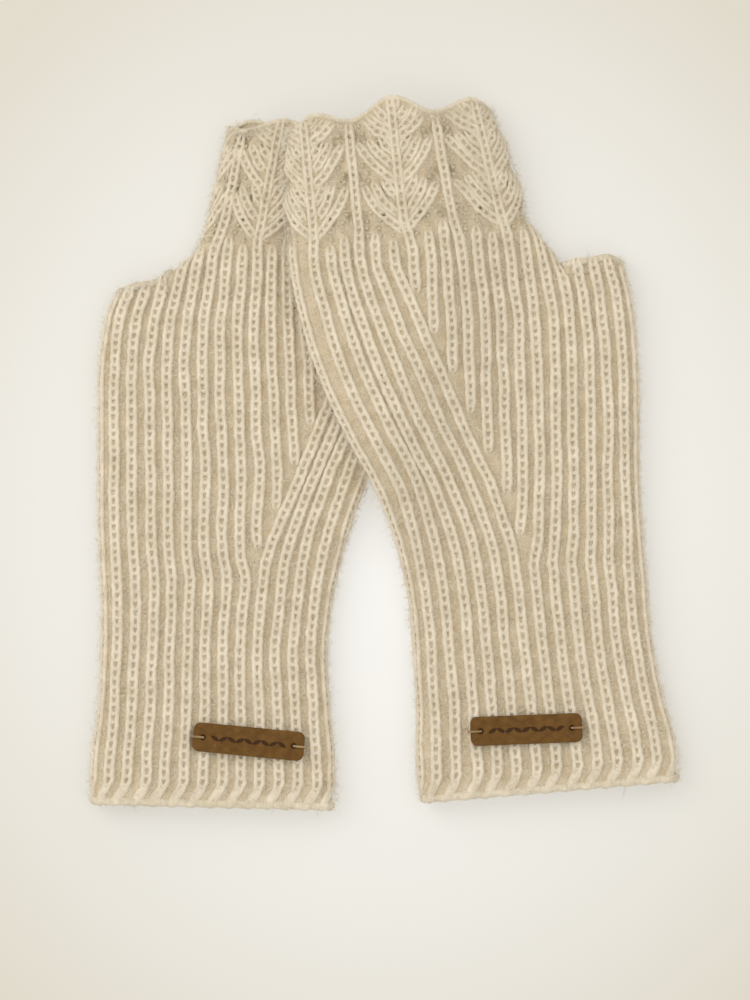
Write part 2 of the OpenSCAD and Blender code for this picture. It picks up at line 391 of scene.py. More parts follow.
# A chain's two rails and the loops between them.
RAIL_STEPS = 5
RAIL_SIDES = 7
RAIL_RADIUS = 0.75
RAIL_OUT = 0.97
RAIL_HEIGHT = -0.5
LOOP_RINGS = 6
LOOP_SIDES = 5
LOOP_RADIUS = 0.74
LOOP_DIP = 0.3
CUT_END = 0.6

# The bars across the valleys, and the bumps that take their place in the lace.
BAR_RADIUS = 0.62
BAR_HEIGHT = -1.62
BAR_HALF_WIDTH = 1.3
BAR_CLEAR_OF_WALE = 1.2
SHORTEST_BAR = 0.15
BUMPS_FROM = 161.0
BUMP_PITCH = 3.5
BUMP_RISE = 0.85
BUMPS_BETWEEN = (-64, 16)

# The bands that the wales turn into above the cast-on edge.
FOOT_TOP = 6.0
FOOT_END = -0.2
FOOT_LEAN = 3.0
FOOT_HALF_WIDTH = 1.5
FOOT_HALF_THICKNESS = 0.6
FOOT_RINGS = 9

# The rows of stitches, which get a little closer towards the fingers.
FIRST_ROW = 4.6
ROW_HEIGHT = 2.58
ROW_SHRINK = 0.28 / 150
ROWS_END = 210

# Where the rib ends: at a leaf's spine, how much higher for each mm from it, and at most.
RIB_END = 157.7
RIB_END_RISE = 0.7
RIB_END_MOST = 167
INTO_LACE_FROM = 156
INTO_LACE_OVER = 12
SIZE_IN_LACE = 0.88


def frames(u, y):
    """Unit vectors along and across a path in the unrolled face, and the path's length for each step."""
    du, dy = np.gradient(u), np.gradient(y)
    length = np.hypot(du, dy)
    along = np.stack([du / length, dy / length], -1)
    return along, np.stack([along[:, 1], -along[:, 0]], -1), length


def chain(u, y, rng, sizes, drop=0.0):
    """One chain of stitches that sit at (u, y), unrolled: its two rails, then the loops that join them."""
    count = len(u)
    fine = np.linspace(-0.5, count - 0.5, count * RAIL_STEPS + 1)
    stitch = np.arange(count)
    with_ends = ([2 * at[0] - at[1], *at, 2 * at[-1] - at[-2]] for at in (u, y))
    fine_u, fine_y = (np.interp(fine, np.arange(-1, count + 1), at) for at in with_ends)
    along, across, _ = frames(fine_u, fine_y)
    closing = np.clip(np.minimum(fine + 0.5, count - 0.5 - fine) / 1.2, 0, 1) ** 0.5
    size = np.interp(fine, stitch, sizes)
    beat = np.cos(2 * math.pi * fine)
    rails = []
    for side in (-1, 1):
        sway = np.interp(fine, stitch, rng.normal(0, 0.07, count))
        swell = np.interp(fine, stitch, rng.normal(0, 0.05, count))
        out = side * size * (RAIL_OUT + 0.13 * beat + sway) * (0.35 + 0.65 * closing)
        height = RAIL_HEIGHT - drop + 0.1 * beat - 0.5 * (1 - closing)
        thick = RAIL_RADIUS * size * (1 + swell - 0.09 * beat) * (0.45 + 0.55 * closing)
        path = np.column_stack([fine_u + out * across[:, 0], fine_y + out * across[:, 1], height])
        side_way = np.column_stack([across, np.zeros(len(fine))])
        rails.append(tube_along(path[None], side_way[None], UP, thick[None], RAIL_SIDES))
    along, across, row = frames(u, y)
    size = sizes[:, None]
    share = np.linspace(-1, 1, LOOP_RINGS)
    wobble = rng.normal(0, 0.07, (count, 2))
    lateral = share * (RAIL_OUT - 0.15) * size + wobble[:, :1]
    forward = (-0.5 - LOOP_DIP / 2 + LOOP_DIP * share ** 2) * row[:, None] + wobble[:, 1:]
    flat = np.stack([u, y], -1)[:, None, :] + lateral[..., None] * across[:, None, :]
    flat = flat + forward[..., None] * along[:, None, :]
    height = np.broadcast_to(RAIL_HEIGHT - drop - 0.12 - 0.1 * share ** 2, lateral.shape)
    path = np.concatenate([flat, height[..., None]], -1)
    slope = 2 * LOOP_DIP * share[None, :] * row[:, None] / (RAIL_OUT * size)
    run = across[:, None, :] + slope[..., None] * along[:, None, :]
    run /= np.linalg.norm(run, axis=-1)[..., None]
    side_way = np.concatenate([-run[..., 1:], run[..., :1], np.zeros(height.shape + (1,))], -1)
    loops = tube_along(path, side_way, UP, LOOP_RADIUS * size * (1 - 0.15 * share ** 2), LOOP_SIDES)
    return rails, loops[1:]


def cut_rail(rail, ring):
    """The parts of a rail below and above one of its rings, each with its cut end tucked into the other."""
    below, above = rail[:, :ring + 2].copy(), rail[:, max(ring - 1, 0):].copy()
    for strand, end in ((below, -1), (above, 0)):
        if 1 < strand.shape[1] < rail.shape[1]:
            middle = strand[:, end].mean(axis=1, keepdims=True)
            strand[:, end] = mix(middle, strand[:, end], CUT_END)
    return below, above


def row_heights():
    heights = [FIRST_ROW]
    while heights[-1] < ROWS_END:
        heights.append(heights[-1] + ROW_HEIGHT - ROW_SHRINK * heights[-1])
    return np.array(heights)


ROWS = row_heights()


def slow_wave(rng, y, size, length):
    """A smooth random wave along y."""
    steps = np.arange(-1, (ROWS_END + 20) / length + 3)
    return np.interp(y / length, steps, rng.normal(0, size, len(steps)))


def lace_foot(glove, face, u, y):
    """The height at which the rib ends below the lace's lowest leaves."""
    spines = np.array([line_up(spine, y) for spine in lace_spines(glove, face)])
    away = np.abs(u - spines).min(0)
    return np.minimum(RIB_END + RIB_END_RISE * away, RIB_END_MOST)


def add_chain(found, part, u, y, size, inside, uneven, rng):
    """Keep the stitches that are inside the face, each moved up or down a little."""
    if inside.sum() > 1:
        height = y[inside] + uneven * rng.normal(size=inside.sum())
        found.append((part, u[inside], height, size[inside]))


def rib_chains(glove, face, rng):
    """The rib's wales on one face, as (part, u, y, size) with one value per stitch.

    The wale nearest to each spine and divider of the lace follows it. The others end below the lace.
    """
    wales = glove.wales()
    cuff_wales = [wale for wale in wales if wale[3] == "fingers"]
    low_edge = glove.unrolled(0, FOLLOW_FROM, "fingers")
    high_edge = low_edge + glove.around(FOLLOW_FROM, "fingers")
    followers = {}
    for line in lace_spines(glove, face) + lace_dividers(glove, face):
        place = line_up(line, FOLLOW_FROM)
        apart = [abs(glove.wale(*wale[:2], np.array([FOLLOW_FROM]))[0] - place) for wale in cuff_wales]
        if low_edge < place < high_edge:
            followers[cuff_wales[int(np.argmin(apart))]] = line
    found = []
    for wale in wales:
        family, number, start, part = wale
        y = ROWS[ROWS >= start]
        u = glove.wale(family, number, y) + slow_wave(rng, y, 0.16, 9) - foot_lean(glove, y)
        size = np.ones(len(y))
        if wale in followers:
            into_lace = ease((y - INTO_LACE_FROM) / INTO_LACE_OVER)
            u = mix(u, line_up(followers[wale], y), into_lace)
            size = mix(1.0, SIZE_IN_LACE, into_lace)
        tube = "fingers" if part == "fingers" else "hand"
        q = u - glove.unrolled(0, y, tube)
        inside = (y < FORK) | ((q < glove.around(y, tube) - 0.4) & (q > 0))
        if part == "thumb":
            inside &= y < glove.thumb_top(glove.across(u, y, part), face) - 0.9
        elif wale in followers:
            inside &= y < glove.fingers_top(glove.across(u, y, part), face) - 1.4
        else:
            inside &= y < lace_foot(glove, face, u, y)
        add_chain(found, part, u, y, size, inside, 0.12, rng)
    return found


def foot_lean(glove, y):
    """How far a wale leans over near the cast-on edge."""
    return glove.mirror * FOOT_LEAN * ease((FOOT_TOP + 0.6 - y) / (FOOT_TOP - FOOT_END))


def wale_feet(glove, rib):
    """The soft bands that the rib's wales turn into above the cast-on edge, leaning to one side."""
    starts = np.array([u[0] + foot_lean(glove, y[0]) for _, u, y, _ in rib if y[0] < ROWS[0] + 1])[:, None]
    share = np.linspace(0, 1, FOOT_RINGS)
    path = np.zeros((len(starts), FOOT_RINGS, 3))
    path[..., 1] = mix(FOOT_TOP, FOOT_END, share)
    path[..., 0] = starts - foot_lean(glove, path[..., 1])
    path[..., 2] = -0.72 - 0.6 * share ** 3
    taper = (1 - np.abs(2 * share - 1) ** 4) ** 0.5
    along = np.gradient(path, axis=1)
    side_way = np.stack([along[..., 1], -along[..., 0], 0 * along[..., 0]], -1)
    side_way *= FOOT_HALF_WIDTH / np.linalg.norm(side_way, axis=-1)[..., None]
    return tube_along(path, side_way, FOOT_HALF_THICKNESS * UP, taper, 10)[:, :, ::-1]


def purl_bars(glove, rib, start, end, rng):
    """The low bars across the valleys between the wales, one to each row, unrolled."""
    bars = []
    for row in ROWS[(ROWS > start) & (ROWS < end)]:
        on = sorted(np.interp(row, y, u) for _, u, y, _ in rib if y[0] <= row <= y[-1])
        if row > BUMPS_FROM:
            on = list(np.arange(*BUMPS_BETWEEN, BUMP_PITCH) + rng.uniform(-1, 1))
        for here, there in zip(on, on[1:]):
            half = min((there - here) / 2 - BAR_CLEAR_OF_WALE, BAR_HALF_WIDTH)
            if half > SHORTEST_BAR:
                bars.append(((here + there) / 2, half, row))
    centres, widths, heights = np.array(bars).T
    part = "hand" if end <= FORK else "fingers"
    around = centres - glove.unrolled(0, heights, part)
    inside = (around > 1) & (around < glove.around(heights, part) - 1)
    centres, widths, heights = (at[inside, None] for at in (centres, widths, heights))
    share = np.linspace(-1, 1, 5)
    path = np.zeros((len(centres), 5, 3))
    path[..., 0] = centres + share * widths
    path[..., 1] = heights + 0.45 * share ** 2 + rng.normal(0, 0.12, centres.shape)
    path[..., 2] = BAR_HEIGHT - 0.15 * share ** 2 + BUMP_RISE * (heights > BUMPS_FROM)
    return tube_along(path, ALONG, UP, BAR_RADIUS * (1 - 0.25 * share ** 2), 6)[:, :, ::-1]


# ---- leaf lace ----

LACE_FOOT, LACE_TOP = 163.0, 197.0
FOLLOW_FROM = 162.0
# Places of the leaves' spines on the front of each glove, at the foot and at the top of the lace.
FRONT_SPINES = {
    "left": [(-62.5, -64.7), (-37.0, -40.0), (-9.6, -15.3), (11.6, 5.5)],
    "right": [(-53.8, -54.2), (-27.9, -28.8), (0.4, -4.8)],
}


def lace_spines(glove, face):
    """Places of the leaves' spines on a face, each at the foot and at the top of the lace."""
    if face == FRONT:
        return FRONT_SPINES[glove.name]
    spines = []
    for count in range(math.ceil(SCALLOPS_ACROSS)):
        share = count / SCALLOPS_ACROSS + FIRST_PEAK[glove.name, BACK]
        spines.append([mix(glove.fold(1, y, "fingers"), glove.fold(2, y, "fingers"), share)
                       for y in (LACE_FOOT, LACE_TOP)])
    return spines


def lace_dividers(glove, face):
    """Places of the plain wales half-way between the leaves."""
    spines = lace_spines(glove, face)
    return [tuple(np.add(here, there) / 2) for here, there in zip(spines, spines[1:])]


def line_up(line, y):
    """Where a line through the lace, given at its foot and at its top, is at heights y."""
    foot, top = line
    return mix(foot, top, (y - LACE_FOOT) / (LACE_TOP - LACE_FOOT))


# One half of a leaf group: each stroke's distance out from the spine and height, from its foot to its tip.
LEAF_STROKES = [
    [(0.9, 163.4), (3.6, 166.3), (7.2, 170.8), (10.2, 175.6)],
    [(2.0, 168.8), (4.8, 172.2), (6.8, 176.8)],
    [(1.2, 173.0), (3.0, 175.4), (4.2, 178.2)],
    [(0.9, 177.6), (3.4, 179.8), (7.0, 183.6), (10.0, 188.2)],
    [(2.0, 182.4), (4.8, 185.6), (6.8, 189.0)],
    [(1.2, 186.0), (2.8, 187.8), (3.9, 189.9)],
    [(0.9, 190.0), (4.4, 191.9), (7.8, 195.2), (10.2, 198.4), (11.2, 201.0)],
    [(1.8, 192.8), (4.8, 194.8), (7.0, 198.4), (7.9, 202.0)],
    [(1.4, 195.0), (3.6, 197.6), (4.8, 202.0)],
    [(1.2, 198.4), (2.1, 202.0)],
]
LACE_STROKE_SIZE = 0.9
LACE_STITCH = 2.25
LACE_DROP = 0.08
# Each eyelet's distance out from the spine and height.
EYELETS = [(5.6, 167.6), (4.6, 174.9), (9.4, 177.2), (11.6, 179.4), (4.3, 188.6), (9.2, 189.8), (11.3, 191.4),
           (11.2, 168.2)]


def eyelet_share(glove, face, u, y):
    """How far a point of the cuff is inside one of the lace's eyelets, from 0 to 1."""
    inside = np.zeros(np.shape(u))
    for spine in lace_spines(glove, face):
        away_from_spine = np.abs(u - line_up(spine, y))
        for eyelet_x, eyelet_y in EYELETS:
            away = np.hypot(away_from_spine - eyelet_x, 0.85 * (y - eyelet_y))
            inside = np.maximum(inside, ease((1.45 - away) / 0.5))
    return inside


def smooth_path(points, step):
    """Points every step along a smooth curve through a few points."""
    points = np.array(points, dtype=float)
    rough = np.concatenate([[0], np.cumsum(np.hypot(*np.diff(points, axis=0).T))])
    fine = np.linspace(0, rough[-1], 80)
    slopes = np.gradient(points, rough, axis=0)
    span = np.clip(np.searchsorted(rough, fine, side="right") - 1, 0, len(rough) - 2)
    width = (rough[span + 1] - rough[span])[:, None]
    t = (fine[:, None] - rough[span][:, None]) / width
    curve = (points[span] * (1 - t) ** 2 * (1 + 2 * t) + points[span + 1] * t ** 2 * (3 - 2 * t)
             + slopes[span] * width * t * (1 - t) ** 2 - slopes[span + 1] * width * t ** 2 * (1 - t))
    length = np.concatenate([[0], np.cumsum(np.hypot(*np.diff(curve, axis=0).T))])
    count = max(int(round(length[-1] / step)), 2)
    at = np.linspace(0, length[-1], count + 1)
    return np.interp(at, length, curve[:, 0]), np.interp(at, length, curve[:, 1])


def lace_chains(glove, face, rng):
    """The leaves' strokes on one face, as (part, u, y, size) with one value per stitch."""
    found = []
    spines = lace_spines(glove, face)
    for spine, side, stroke in itertools.product(spines, (-1, 1), LEAF_STROKES):
        out, y = smooth_path(stroke, LACE_STITCH)
        u = line_up(spine, y) + side * out + slow_wave(rng, y, 0.3, 4)
        around = u - glove.unrolled(0, y, "fingers")
        inside = (around > 0) & (around < glove.around(y, "fingers"))
        inside &= y < glove.fingers_top(glove.across(u, y, "fingers"), face) - 1.2
        add_chain(found, "fingers", u, y, np.full(len(y), LACE_STROKE_SIZE), inside, 0.1, rng)
    return found


# ---- the knitted ground under the stitches ----

# The fabric's skin, its dips at the fork, the wales' feet and the eyelets, and where its valleys start.
GROUND_VALLEY = -1.2
GROUND_UNDER_WALE = -0.62
SEAM = 0.35
FOOT_DIP = 0.25
EYELET_DIP = 0.9
GROUND_BELOW_EDGE = 1
GROUND_COLUMNS = 150
WALE_REACH = 1.0
VALLEY_OVER = 1.3


def round_tube(count):
    """The way round a flattened tube: each point's share of the way across, and the face that it is on."""
    share = np.concatenate([np.arange(count), np.arange(count, 0, -1)]) / count
    return share, np.repeat([FRONT, BACK], count)


def open_edge(glove, part, share, face, top):
    """The heights of an open end's edge at points round the tube."""
    near_top = GLOVE_LENGTH - 4 if part == "fingers" else FORK + 2
    u = glove.unrolled(share * glove.around(near_top, part), near_top, part)
    return top(glove.across(u, near_top, part), face)


def place_round(glove, points, face, part="hand"):
    """World places of points whose first axis goes round the tube."""
    on_front = (face == FRONT).reshape(-1, *[1] * (points.ndim - 1))
    return np.where(on_front, glove.place(points, FRONT, part), glove.place(points, BACK, part))


def ring_mesh(name, placed):
    """The mesh of a closed loop of closed rings."""
    loop, sides, _ = placed.shape
    index = np.arange(loop * sides).reshape(loop, sides)
    after = np.roll(index, -1, axis=0)
    faces = np.stack([index, after, np.roll(after, -1, axis=1), np.roll(index, -1, axis=1)], -1)
    return make_mesh(name, placed.reshape(-1, 3), [faces.reshape(-1, 4)])


def ground(glove, part, start, top, rows, chains):
    """A closed tube of ground fabric with its walls, and its own ring of faces at each end."""
    share, face = round_tube(GROUND_COLUMNS)
    top_y = open_edge(glove, part, share, face, top) - GROUND_BELOW_EDGE
    marks = {}
    for side in (FRONT, BACK):
        spots = [np.stack([u, y], -1) for _, u, y, _ in chains[side]]
        spots += [(spot[1:] + spot[:-1]) / 2 for spot in spots]
        marks[side] = np.concatenate(spots)
    skins = []
    for depth in (0, 1):
        rings = []
        for row in range(rows + 1):
            y = mix(start, top_y, row / rows)
            u = glove.unrolled(share * glove.around(y, part), y, part)
            if depth:
                h = np.full(len(u), -WALL)
            else:
                h = np.empty(len(u))
                for side in (FRONT, BACK):
                    on = face == side
                    spots = marks[side][np.abs(marks[side][:, 1] - y[on].mean()) < 6]
                    beside = u[on][:, None] - spots[:, 0]
                    above = y[on][:, None] - spots[:, 1]
                    away = np.hypot(beside, 0.75 * above).min(1, initial=9.0)
                    h[on] = mix(GROUND_UNDER_WALE, GROUND_VALLEY, ease((away - WALE_REACH) / VALLEY_OVER))
                    h[on] = mix(h[on], GROUND_UNDER_WALE - FOOT_DIP, 0.7 * ease((FOOT_TOP - y[on]) / 4))
                    if part == "fingers":
                        h[on] -= EYELET_DIP * eyelet_share(glove, side, u[on], y[on])
                if part != "hand":
                    h -= SEAM * ease((FORK + 0.2 - y) / 0.9)
            rings.append(place_round(glove, np.stack([u, y, h], -1), face, part))
        skins.append(np.array(rings))
    outer, inner = skins
    count = 2 * GROUND_COLUMNS
    index = np.arange((rows + 1) * count).reshape(rows + 1, count)
    beside = np.roll(index, -1, axis=1)
    shift = index.size
    quads = [
        np.stack([index[:-1], beside[:-1], beside[1:], index[1:]], -1),
        np.stack([index[:-1], index[1:], beside[1:], beside[:-1]], -1) + shift,
        np.stack([index[0], index[0] + shift, beside[0] + shift, beside[0]], -1)[None],
        np.stack([index[-1], beside[-1], beside[-1] + shift, index[-1] + shift], -1)[None],
    ]
    corners = np.concatenate([outer.reshape(-1, 3), inner.reshape(-1, 3)])
    faces = np.concatenate([q.reshape(-1, 4) for q in quads])
    return make_mesh(f"{glove.name}_{part}_ground", corners, [faces[:, ::-1]])


RIM_STEPS = 420
RIM_SIDES = 10
RIM_WAVE_LENGTH = 2.5
RIM_DEPTH = WALL / 2 + 0.35
CAST_ON_STEPS = 900
CAST_ON_SIDES = 14
CAST_ON_SLANT = 0.9
# The middle of the cast-on roll and its radii, each along the glove and out of the fabric.
CAST_ON_AT = (0.85, -1.6)
CAST_ON_REACH = (1.3, 1.25)


def rim(name, glove, part, top, inset, radius, wave, rng):
    """A rolled rim of yarn round an open end: one closed loop of rings."""
    share, face = round_tube(RIM_STEPS)
    y = open_edge(glove, part, share, face, top) - inset
    u = glove.unrolled(share * glove.around(y, part), y, part)
    turn = np.arange(RIM_SIDES) * 2 * math.pi / RIM_SIDES
    lump = radius * (1 + wave * np.sin(u * 2 * math.pi / RIM_WAVE_LENGTH)) + 0.05 * rng.normal(size=len(u))
    rise = y[:, None] + lump[:, None] * np.cos(turn)
    height = -RIM_DEPTH + 1.15 * lump[:, None] * np.sin(turn)
    points = np.stack([np.broadcast_to(u[:, None], rise.shape), rise, height], -1)
    return ring_mesh(name, place_round(glove, points, face, part))


def cast_on(name, glove, rng):
    """The bulky cast-on edge: a lumpy roll round the wrist, its lumps slanting like the wales' feet."""
    share, face = round_tube(CAST_ON_STEPS)
    turn = np.arange(CAST_ON_SIDES) * 2 * math.pi / CAST_ON_SIDES
    pitch = glove.around(0.0) / (glove.thumb_wales + glove.little_wales)
    q = share * glove.around(0.0)
    slant = CAST_ON_SLANT * np.cos(turn) * glove.mirror
    phase = 2 * math.pi * (q[:, None] - slant) / pitch
    lump = 1 + 0.13 * np.cos(phase) + 0.07 * np.cos(2 * phase + 1) + 0.03 * rng.normal(size=(len(q), 1))
    rise = CAST_ON_AT[0] + CAST_ON_REACH[0] * lump * np.cos(turn)
    height = CAST_ON_AT[1] + CAST_ON_REACH[1] * lump * np.sin(turn)
    points = np.stack([np.broadcast_to(glove.unrolled(q, 0.0)[:, None], rise.shape), rise, height], -1)
    return ring_mesh(name, place_round(glove, points, face))


# ---- loose fibres ----

FIBRES = 10000
FIBRE_LENGTHS = (1.2, 3.4)
FIBRE_RISES = (0.15, 0.75)
FIBRE_RADII = np.array([0.045, 0.038, 0.012]) * MM
LOWEST_FIBRE = -0.2 * MM


def fuzz(glove, face, rng):
    """Loose fibres all over a face: bent tubes of three rings that stand a little out of the knit."""
    y = rng.uniform(0.3, 199, FIBRES)
    part_names = np.where(y < FORK, "hand", "fingers")
    placed = []
    for part in ("hand", "fingers", "thumb"):
        if part == "thumb":
            at_y = rng.uniform(FORK, FORK + 4.5, FIBRES // 120)
        else:
            at_y = y[part_names == part]
        q = rng.uniform(0, 1, len(at_y)) * glove.around(at_y, part)
        u = glove.unrolled(q, at_y, part)
        if part != "hand":
            top = glove.fingers_top if part == "fingers" else glove.thumb_top
            at_y = np.minimum(at_y, top(glove.across(u, at_y, part), face) - rng.uniform(0.4, 2, len(u)))
        base = np.stack([u, at_y, np.full(len(u), -0.35)], -1)
        foot = glove.place(base, face, part)
        out = glove.place(base + [0, 0, 1.0], face, part) - foot
        out /= np.linalg.norm(out, axis=1)[:, None]
        lie = rng.normal(size=foot.shape)
        lie -= (lie * out).sum(1)[:, None] * out
        lie /= np.linalg.norm(lie, axis=1)[:, None]
        bend = rng.normal(size=foot.shape)
        length = rng.uniform(*FIBRE_LENGTHS, len(u))[:, None] * MM
        rise = rng.uniform(*FIBRE_RISES, len(u))[:, None]
        middle = foot + length * (0.5 * lie + rise * 0.7 * out)
        tip = foot + length * (0.95 * lie + rise * out + 0.25 * bend * [1, 1, 0.3])
        path = np.stack([foot, middle, tip], 1)
        placed.append(tube_along(path, np.cross(lie, out)[:, None], out[:, None], FIBRE_RADII, 3))
    points = np.concatenate(placed)
    points[..., 2] = np.maximum(points[..., 2], LOWEST_FIBRE)
    return points


# ---- leather labels ----

LABEL = dict(length=32.0, width=8.3, thick=1.5, corner=2.0, hole=13.0, hole_radius=0.75, gap=0.6)
LABEL_AT = {"left": (-10.3, 18.9, 4.1), "right": (-5.1, 18.3, -2.6)}
LEAVES = 9
LEAF_DEPTH = 0.3
LEAF_TILT = 28
LEAF_HALF_LENGTH = 1.45
LEAF_HALF_WIDTH = 0.55
LEAVES_CLEAR_OF_HOLES = 2.9
LABEL_EDGE = 0.38
LABEL_UNDER_EDGE = 0.25
LABEL_GRID = 0.2
CORNER_STEPS = 24
HOLE_DEPTH = 1.2


def leaf_depth(x, y):
    """How deep the row of pressed leaves is at a point of the label."""
    pitch = (2 * LABEL["hole"] - LEAVES_CLEAR_OF_HOLES - 2 * LABEL["hole_radius"]) / LEAVES
    depth = np.zeros_like(x)
    for i in range(LEAVES):
        tilt = math.radians(LEAF_TILT if i % 2 == 0 else -LEAF_TILT)
        along, beside = turned(x - (i - (LEAVES - 1) / 2) * pitch, y, -tilt)
        edge = LEAF_HALF_WIDTH * np.clip(1 - (along / LEAF_HALF_LENGTH) ** 2, 0, 1) - np.abs(beside)
        depth = np.maximum(depth, LEAF_DEPTH * ease(edge / 0.22 + 0.5))
    return depth


def label_plate(glove):
    """The leather plate, as rings from its middle line out over the rounded edge and back under."""
    half_l, half_w, corner, thick = LABEL["length"] / 2, LABEL["width"] / 2, LABEL["corner"], LABEL["thick"]
    outline = []
    for cx, cy, start in ((1, 1, 0), (-1, 1, 90), (-1, -1, 180), (1, -1, 270)):
        for i in range(CORNER_STEPS + 1):
            a = math.radians(start + 90 * i / CORNER_STEPS)
            outline.append((cx * (half_l - corner), cy * (half_w - corner), math.cos(a), math.sin(a)))
    spaced = []
    for here, there in zip(outline, outline[1:] + outline[:1]):
        gap = math.hypot(there[0] - here[0], there[1] - here[1])
        extra = max(int(gap / LABEL_GRID), 1)
        spaced += [tuple(mix(a, b, k / extra) for a, b in zip(here, there)) for k in range(extra)]
    core_x, core_y, out_x, out_y = np.array(spaced).T
    length = np.hypot(out_x, out_y)
    out_x, out_y = out_x / length, out_y / length
    line_x = np.clip(core_x, -(half_l - half_w), half_l - half_w)
    rings = []
    for share in np.linspace(0, 1, 12):
        rings.append((mix(line_x, core_x, share), mix(0, core_y, share), thick))
    steps = [(reach, thick) for reach in np.linspace(0, corner - LABEL_EDGE, 9)[1:]]
    for a in np.radians(np.linspace(0, 90, 6)[1:]):
        steps.append((corner + LABEL_EDGE * (math.sin(a) - 1), thick + LABEL_EDGE * (math.cos(a) - 1)))
    steps += [(corner, LABEL_UNDER_EDGE), (corner - LABEL_UNDER_EDGE, 0.0), (0.0, 0.0)]
    for reach, z in steps:
        rings.append((core_x + reach * out_x, core_y + reach * out_y, z))
    rings.append((line_x, core_y * 0, 0.0))
    points, pressed = [], []
    for x, y, z in rings:
        z = np.full(len(core_x), float(z))
        pressed.append(np.zeros(len(core_x)))
        if z[0] > thick - 0.01:
            depth = leaf_depth(x, y)
            pressed[-1] = depth / LEAF_DEPTH
            z -= depth
            for end in (-1, 1):
                away = np.hypot(x - end * LABEL["hole"], y)
                z -= HOLE_DEPTH * ease((LABEL["hole_radius"] + 0.12 - away) / 0.3)
                z -= 0.12 * ease((1.9 - away) / 1.2)
        points.append(np.stack([x, y, z], -1))
    points = np.array(points)
    index = np.arange(points[..., 0].size).reshape(len(points), -1)
    beside = np.roll(index, -1, axis=1)
    faces = np.stack([index[:-1], index[1:], beside[1:], beside[:-1]], -1).reshape(-1, 4)
    at_x, at_y, turn = LABEL_AT[glove.name]
    x, y = turned(points[..., 0], points[..., 1], math.radians(turn))
    world_x, world_y = glove.world(at_x + x, at_y + y)
    corners = np.stack([world_x, world_y, LYING + LABEL["gap"] + points[..., 2]], -1).reshape(-1, 3) * MM
    if glove.mirror < 0:
        faces = faces[:, ::-1]
    mesh = make_mesh(f"{glove.name}_label_plate", corners, [faces])
    burnt = mesh.attributes.new("pressed", "FLOAT", "POINT")
    burnt.data.foreach_set("value", np.concatenate(pressed).astype(np.float32))
    return mesh


# ---- materials ----


def set_inputs(node, values):
    for name, value in values.items():
        node.inputs[name].default_value = value


def shader(name, values):
    """A new material with these values on its surface shader."""
    material = bpy.data.materials.new(name)
    material.use_nodes = True
    set_inputs(material.node_tree.nodes["Principled BSDF"], values)
    return material, material.node_tree.nodes, material.node_tree.links


def noise(nodes, links, scale, detail, coordinates):
    node = nodes.new("ShaderNodeTexNoise")
    set_inputs(node, {"Scale": scale, "Detail": detail})
    links.new(coordinates.outputs["Object"], node.inputs["Vector"])
    return node


def ramp(nodes, links, source, stops):
    node = nodes.new("ShaderNodeValToRGB")
    for i, (place, colour) in enumerate(stops):
        element = node.color_ramp.elements[i] if i < 2 else node.color_ramp.elements.new(place)
        element.position = place
        element.color = (*colour, 1)
    links.new(source, node.inputs["Fac"])
    return node


def linear(red, green, blue):
    """A colour given as it looks on a screen, from 0 to 255."""
    return tuple((c / 255) ** 2.2 for c in (red, green, blue))


def roughen(nodes, links, height, strength, distance):
    """Small bumps on a material's surface."""
    bump = nodes.new("ShaderNodeBump")
    set_inputs(bump, {"Strength": strength, "Distance": distance})
    links.new(height, bump.inputs["Height"])
    links.new(bump.outputs["Normal"], nodes["Principled BSDF"].inputs["Normal"])


def yarn(name, dark, light, fibre):
    """Brushed yarn, blotched between two colours, with fine fibres as bumps."""
    surface = {"Roughness": 0.92, "Sheen Weight": 0.25, "Sheen Roughness": 0.5, "Specular IOR Level": 0.15}
    material, nodes, links = shader(name, surface)
    coordinates = nodes.new("ShaderNodeTexCoord")
    broad = noise(nodes, links, 260, 6, coordinates)
    tint = ramp(nodes, links, broad.outputs["Fac"], [(0.3, linear(*dark)), (0.7, linear(*light))])
    links.new(tint.outputs["Color"], nodes["Principled BSDF"].inputs["Base Color"])
    fine = noise(nodes, links, 2600, 5, coordinates)
    roughen(nodes, links, fine.outputs["Fac"], fibre, 0.4 * MM)
    return material


def leather():
    """Brown leather with a fine grain, darker where it is pressed."""
    material, nodes, links = shader("brown_leather", {"Roughness": 0.75, "Specular IOR Level": 0.2})
    coordinates = nodes.new("ShaderNodeTexCoord")
    broad = noise(nodes, links, 420, 8, coordinates)
    tint = ramp(nodes, links, broad.outputs["Fac"], [(0.3, linear(92, 63, 28)), (0.7, linear(110, 79, 38))])
    pressed = nodes.new("ShaderNodeAttribute")
    pressed.attribute_name = "pressed"
    burnt = nodes.new("ShaderNodeMix")
    burnt.data_type = "RGBA"
    set_inputs(burnt, {"B": (*linear(64, 42, 22), 1)})
    links.new(pressed.outputs["Fac"], burnt.inputs["Factor"])
    links.new(tint.outputs["Color"], burnt.inputs["A"])
    links.new(burnt.outputs["Result"], nodes["Principled BSDF"].inputs["Base Color"])
    grain = nodes.new("ShaderNodeTexVoronoi")
    set_inputs(grain, {"Scale": 2600})
    links.new(coordinates.outputs["Object"], grain.inputs["Vector"])
    roughen(nodes, links, grain.outputs["Distance"], 0.2, 0.1 * MM)
    return material


